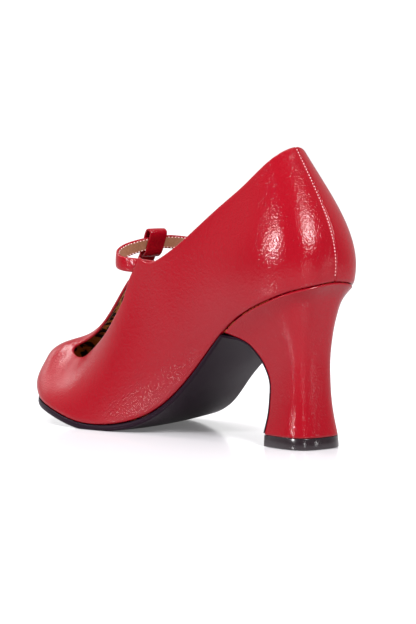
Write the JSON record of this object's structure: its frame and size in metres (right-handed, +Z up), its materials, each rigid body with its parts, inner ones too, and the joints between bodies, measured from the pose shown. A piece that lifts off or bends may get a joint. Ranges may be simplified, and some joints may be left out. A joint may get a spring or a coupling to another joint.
{
  "type": "t strap shoe",
  "caption": "Right T-strap pump with a round closed toe, open sides beside the T-bar, a buckled instep strap and a tall covered block heel.",
  "frame": {"origin": "on the floor, under the middle of the shoe's bounding box", "axes": "+X to the outer (little toe) side, +Y to the toe, +Z up"},
  "size_m": [0.0776, 0.2246, 0.1525],
  "materials": {
    "red_patent": "glossy crinkled patent",
    "black_rubber": "satin",
    "black_plastic": "gloss",
    "lining": "leopard print on a satin weave",
    "metal": "polished"
  },
  "bodies": {
    "root": {"upper": "red_patent", "outsole": "black_rubber", "insole": "lining", "heel": "red_patent", "top_lift": "black_plastic", "strap": "red_patent", "buckle_frame": "metal", "buckle_prong": "metal", "buckle_tab": "red_patent", "strap_keeper": "red_patent"}
  },
  "joints": []
}
